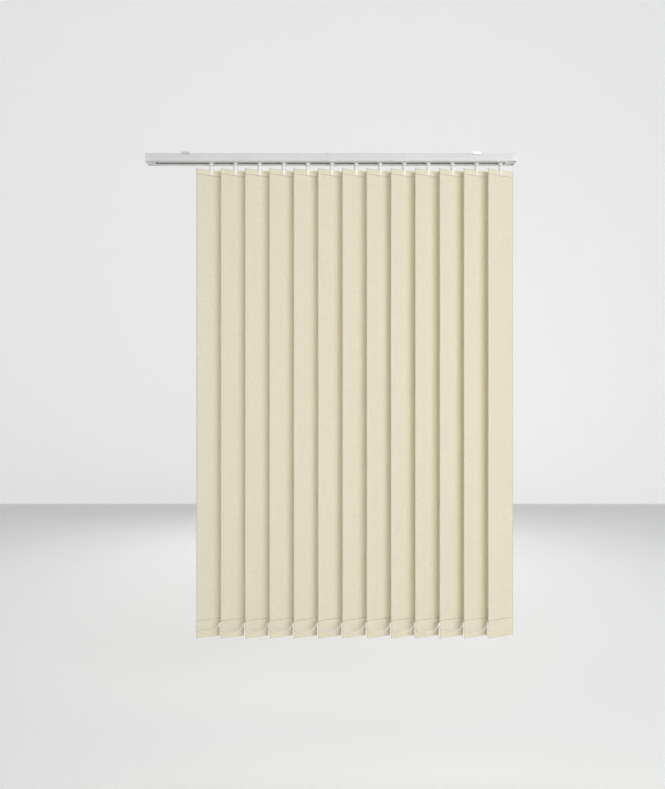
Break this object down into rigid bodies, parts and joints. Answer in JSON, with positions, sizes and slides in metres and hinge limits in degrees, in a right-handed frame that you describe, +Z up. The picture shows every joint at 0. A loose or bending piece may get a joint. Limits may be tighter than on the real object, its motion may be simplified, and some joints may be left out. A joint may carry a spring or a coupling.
{
  "type": "vertical blind",
  "caption": "Vertical blind with a slim white headrail, overlapping cream fabric louvres on hooks and trucks, and weighted hems joined by a bead chain.",
  "frame": {"origin": "in the soffit face, between the screws of the middle bracket", "axes": "+X along the headrail towards its control end, +Y from the room to the window, +Z up"},
  "size_m": [1.1016, 0.0536, 1.4398],
  "materials": {
    "rail": "satin powder coat",
    "bracket": "zinc plated",
    "cap": "moulded",
    "rod": "drawn",
    "mechanism": "moulded",
    "hook": "moulded",
    "cloth": "stiffened linen weave",
    "chain": "moulded"
  },
  "bodies": {
    "rail": {"headrail": "rail", "idler_end_cap": "cap", "control_end_cap": "cap", "top_brackets": "bracket", "truck_13": "mechanism"},
    "rod": {"tilt_rod": "rod", "tilt_sprocket": "mechanism"},
    "control_pulley": {"cord_pulley": "mechanism"},
    "far_pulley": {"idler_pulley": "mechanism"},
    "carriage_01": {"truck_01": "mechanism"},
    "carriage_02": {"truck_02": "mechanism"},
    "carriage_03": {"truck_03": "mechanism"},
    "carriage_04": {"truck_04": "mechanism"},
    "carriage_05": {"truck_05": "mechanism"},
    "carriage_06": {"truck_06": "mechanism"},
    "carriage_07": {"truck_07": "mechanism"},
    "carriage_08": {"truck_08": "mechanism"},
    "carriage_09": {"truck_09": "mechanism"},
    "carriage_10": {"truck_10": "mechanism"},
    "carriage_11": {"truck_11": "mechanism"},
    "carriage_12": {"truck_12": "mechanism"},
    "louvre_01": {"louvre_fittings_01": "hook", "slat_01": "cloth"},
    "louvre_02": {"louvre_fittings_02": "hook", "slat_02": "cloth"},
    "louvre_03": {"louvre_fittings_03": "hook", "slat_03": "cloth"},
    "louvre_04": {"louvre_fittings_04": "hook", "slat_04": "cloth"},
    "louvre_05": {"louvre_fittings_05": "hook", "slat_05": "cloth"},
    "louvre_06": {"louvre_fittings_06": "hook", "slat_06": "cloth"},
    "louvre_07": {"louvre_fittings_07": "hook", "slat_07": "cloth"},
    "louvre_08": {"louvre_fittings_08": "hook", "slat_08": "cloth"},
    "louvre_09": {"louvre_fittings_09": "hook", "slat_09": "cloth"},
    "louvre_10": {"louvre_fittings_10": "hook", "slat_10": "cloth"},
    "louvre_11": {"louvre_fittings_11": "hook", "slat_11": "cloth"},
    "louvre_12": {"louvre_fittings_12": "hook", "slat_12": "cloth"},
    "louvre_13": {"louvre_fittings_13": "hook", "slat_13": "cloth"},
    "span_01": {"chain_01": "chain"},
    "span_02": {"chain_02": "chain"},
    "span_03": {"chain_03": "chain"},
    "span_04": {"chain_04": "chain"},
    "span_05": {"chain_05": "chain"},
    "span_06": {"chain_06": "chain"},
    "span_07": {"chain_07": "chain"},
    "span_08": {"chain_08": "chain"},
    "span_09": {"chain_09": "chain"},
    "span_10": {"chain_10": "chain"},
    "span_11": {"chain_11": "chain"},
    "span_12": {"chain_12": "chain"}
  },
  "joints": [
    {"name": "traverse_01", "type": "slide", "parent": "rail", "child": "carriage_01", "axis": [1, 0, 0], "range_m": [0, 0.66], "deforming": ["chain_01", "chain_02", "chain_03", "chain_04", "chain_05", "chain_06", "chain_07", "chain_08", "chain_09", "chain_10", "chain_11", "chain_12"]},
    {"name": "traverse_02", "type": "slide", "parent": "rail", "child": "carriage_02", "axis": [1, 0, 0], "range_m": [0, 0.605]},
    {"name": "traverse_03", "type": "slide", "parent": "rail", "child": "carriage_03", "axis": [1, 0, 0], "range_m": [0, 0.55]},
    {"name": "traverse_04", "type": "slide", "parent": "rail", "child": "carriage_04", "axis": [1, 0, 0], "range_m": [0, 0.495]},
    {"name": "traverse_05", "type": "slide", "parent": "rail", "child": "carriage_05", "axis": [1, 0, 0], "range_m": [0, 0.44]},
    {"name": "traverse_06", "type": "slide", "parent": "rail", "child": "carriage_06", "axis": [1, 0, 0], "range_m": [0, 0.385]},
    {"name": "traverse_07", "type": "slide", "parent": "rail", "child": "carriage_07", "axis": [1, 0, 0], "range_m": [0, 0.33]},
    {"name": "traverse_08", "type": "slide", "parent": "rail", "child": "carriage_08", "axis": [1, 0, 0], "range_m": [0, 0.275]},
    {"name": "traverse_09", "type": "slide", "parent": "rail", "child": "carriage_09", "axis": [1, 0, 0], "range_m": [0, 0.22]},
    {"name": "traverse_10", "type": "slide", "parent": "rail", "child": "carriage_10", "axis": [1, 0, 0], "range_m": [0, 0.165]},
    {"name": "traverse_11", "type": "slide", "parent": "rail", "child": "carriage_11", "axis": [1, 0, 0], "range_m": [0, 0.11]},
    {"name": "traverse_12", "type": "slide", "parent": "rail", "child": "carriage_12", "axis": [1, 0, 0], "range_m": [0, 0.055]},
    {"name": "tilt_01", "type": "hinge", "parent": "carriage_01", "child": "louvre_01", "pos_m": [-0.357, 0, -0.03], "axis": [0, 0, 1], "range_deg": [-6, 144]},
    {"name": "tilt_02", "type": "hinge", "parent": "carriage_02", "child": "louvre_02", "pos_m": [-0.285, 0, -0.03], "axis": [0, 0, 1], "range_deg": [-6, 144]},
    {"name": "tilt_03", "type": "hinge", "parent": "carriage_03", "child": "louvre_03", "pos_m": [-0.213, 0, -0.03], "axis": [0, 0, 1], "range_deg": [-6, 144]},
    {"name": "tilt_04", "type": "hinge", "parent": "carriage_04", "child": "louvre_04", "pos_m": [-0.141, 0, -0.03], "axis": [0, 0, 1], "range_deg": [-6, 144]},
    {"name": "tilt_05", "type": "hinge", "parent": "carriage_05", "child": "louvre_05", "pos_m": [-0.069, 0, -0.03], "axis": [0, 0, 1], "range_deg": [-6, 144]},
    {"name": "tilt_06", "type": "hinge", "parent": "carriage_06", "child": "louvre_06", "pos_m": [0.003, 0, -0.03], "axis": [0, 0, 1], "range_deg": [-6, 144]},
    {"name": "tilt_07", "type": "hinge", "parent": "carriage_07", "child": "louvre_07", "pos_m": [0.075, 0, -0.03], "axis": [0, 0, 1], "range_deg": [-6, 144]},
    {"name": "tilt_08", "type": "hinge", "parent": "carriage_08", "child": "louvre_08", "pos_m": [0.147, 0, -0.03], "axis": [0, 0, 1], "range_deg": [-6, 144]},
    {"name": "tilt_09", "type": "hinge", "parent": "carriage_09", "child": "louvre_09", "pos_m": [0.219, 0, -0.03], "axis": [0, 0, 1], "range_deg": [-6, 144]},
    {"name": "tilt_10", "type": "hinge", "parent": "carriage_10", "child": "louvre_10", "pos_m": [0.291, 0, -0.03], "axis": [0, 0, 1], "range_deg": [-6, 144]},
    {"name": "tilt_11", "type": "hinge", "parent": "carriage_11", "child": "louvre_11", "pos_m": [0.363, 0, -0.03], "axis": [0, 0, 1], "range_deg": [-6, 144]},
    {"name": "tilt_12", "type": "hinge", "parent": "carriage_12", "child": "louvre_12", "pos_m": [0.435, 0, -0.03], "axis": [0, 0, 1], "range_deg": [-6, 144]},
    {"name": "tilt_13", "type": "hinge", "parent": "rail", "child": "louvre_13", "pos_m": [0.507, 0, -0.03], "axis": [0, 0, 1], "range_deg": [-6, 144]},
    {"name": "clip_01", "type": "hinge", "parent": "louvre_01", "child": "span_01", "pos_m": [-0.40354, -0.01969, -1.3943], "axis": [0, 0, 1], "range_deg": [-144, 6]},
    {"name": "clip_02", "type": "hinge", "parent": "louvre_02", "child": "span_02", "pos_m": [-0.33154, -0.01969, -1.3943], "axis": [0, 0, 1], "range_deg": [-144, 6]},
    {"name": "clip_03", "type": "hinge", "parent": "louvre_03", "child": "span_03", "pos_m": [-0.25954, -0.01969, -1.3943], "axis": [0, 0, 1], "range_deg": [-144, 6]},
    {"name": "clip_04", "type": "hinge", "parent": "louvre_04", "child": "span_04", "pos_m": [-0.18754, -0.01969, -1.3943], "axis": [0, 0, 1], "range_deg": [-144, 6]},
    {"name": "clip_05", "type": "hinge", "parent": "louvre_05", "child": "span_05", "pos_m": [-0.11554, -0.01969, -1.3943], "axis": [0, 0, 1], "range_deg": [-144, 6]},
    {"name": "clip_06", "type": "hinge", "parent": "louvre_06", "child": "span_06", "pos_m": [-0.04354, -0.01969, -1.3943], "axis": [0, 0, 1], "range_deg": [-144, 6]},
    {"name": "clip_07", "type": "hinge", "parent": "louvre_07", "child": "span_07", "pos_m": [0.02846, -0.01969, -1.3943], "axis": [0, 0, 1], "range_deg": [-144, 6]},
    {"name": "clip_08", "type": "hinge", "parent": "louvre_08", "child": "span_08", "pos_m": [0.10046, -0.01969, -1.3943], "axis": [0, 0, 1], "range_deg": [-144, 6]},
    {"name": "clip_09", "type": "hinge", "parent": "louvre_09", "child": "span_09", "pos_m": [0.17246, -0.01969, -1.3943], "axis": [0, 0, 1], "range_deg": [-144, 6]},
    {"name": "clip_10", "type": "hinge", "parent": "louvre_10", "child": "span_10", "pos_m": [0.24446, -0.01969, -1.3943], "axis": [0, 0, 1], "range_deg": [-144, 6]},
    {"name": "clip_11", "type": "hinge", "parent": "louvre_11", "child": "span_11", "pos_m": [0.31646, -0.01969, -1.3943], "axis": [0, 0, 1], "range_deg": [-144, 6]},
    {"name": "clip_12", "type": "hinge", "parent": "louvre_12", "child": "span_12", "pos_m": [0.38846, -0.01969, -1.3943], "axis": [0, 0, 1], "range_deg": [-144, 6]},
    {"name": "rod_turn", "type": "hinge", "parent": "rail", "child": "rod", "pos_m": [0, 0.0085, -0.0145], "axis": [1, 0, 0], "range_deg": [-36, 864]},
    {"name": "control_pulley_turn", "type": "hinge", "parent": "rail", "child": "control_pulley", "pos_m": [0.543, -0.0115, -0.0186], "axis": [0, 1, 0], "continuous": true},
    {"name": "far_pulley_turn", "type": "hinge", "parent": "rail", "child": "far_pulley", "pos_m": [-0.536, -0.0115, -0.015], "axis": [0, 0, 1], "continuous": true}
  ],
  "couplings": [
    {"joint": "traverse_02", "follows": "traverse_01", "ratio": 0.91667},
    {"joint": "traverse_03", "follows": "traverse_01", "ratio": 0.83333},
    {"joint": "traverse_04", "follows": "traverse_01", "ratio": 0.75},
    {"joint": "traverse_05", "follows": "traverse_01", "ratio": 0.66667},
    {"joint": "traverse_06", "follows": "traverse_01", "ratio": 0.58333},
    {"joint": "traverse_07", "follows": "traverse_01", "ratio": 0.5},
    {"joint": "traverse_08", "follows": "traverse_01", "ratio": 0.41667},
    {"joint": "traverse_09", "follows": "traverse_01", "ratio": 0.33333},
    {"joint": "traverse_10", "follows": "traverse_01", "ratio": 0.25},
    {"joint": "traverse_11", "follows": "traverse_01", "ratio": 0.16667},
    {"joint": "traverse_12", "follows": "traverse_01", "ratio": 0.083333},
    {"joint": "tilt_02", "follows": "tilt_01", "ratio": 1},
    {"joint": "tilt_03", "follows": "tilt_01", "ratio": 1},
    {"joint": "tilt_04", "follows": "tilt_01", "ratio": 1},
    {"joint": "tilt_05", "follows": "tilt_01", "ratio": 1},
    {"joint": "tilt_06", "follows": "tilt_01", "ratio": 1},
    {"joint": "tilt_07", "follows": "tilt_01", "ratio": 1},
    {"joint": "tilt_08", "follows": "tilt_01", "ratio": 1},
    {"joint": "tilt_09", "follows": "tilt_01", "ratio": 1},
    {"joint": "tilt_10", "follows": "tilt_01", "ratio": 1},
    {"joint": "tilt_11", "follows": "tilt_01", "ratio": 1},
    {"joint": "tilt_12", "follows": "tilt_01", "ratio": 1},
    {"joint": "tilt_13", "follows": "tilt_01", "ratio": 1},
    {"joint": "clip_01", "follows": "tilt_01", "ratio": -1},
    {"joint": "clip_02", "follows": "tilt_01", "ratio": -1},
    {"joint": "clip_03", "follows": "tilt_01", "ratio": -1},
    {"joint": "clip_04", "follows": "tilt_01", "ratio": -1},
    {"joint": "clip_05", "follows": "tilt_01", "ratio": -1},
    {"joint": "clip_06", "follows": "tilt_01", "ratio": -1},
    {"joint": "clip_07", "follows": "tilt_01", "ratio": -1},
    {"joint": "clip_08", "follows": "tilt_01", "ratio": -1},
    {"joint": "clip_09", "follows": "tilt_01", "ratio": -1},
    {"joint": "clip_10", "follows": "tilt_01", "ratio": -1},
    {"joint": "clip_11", "follows": "tilt_01", "ratio": -1},
    {"joint": "clip_12", "follows": "tilt_01", "ratio": -1},
    {"joint": "rod_turn", "follows": "tilt_01", "ratio": 6},
    {"joint": "control_pulley_turn", "follows": "traverse_01", "rad_per_m": 277.78},
    {"joint": "far_pulley_turn", "follows": "traverse_01", "rad_per_m": 277.78}
  ]
}
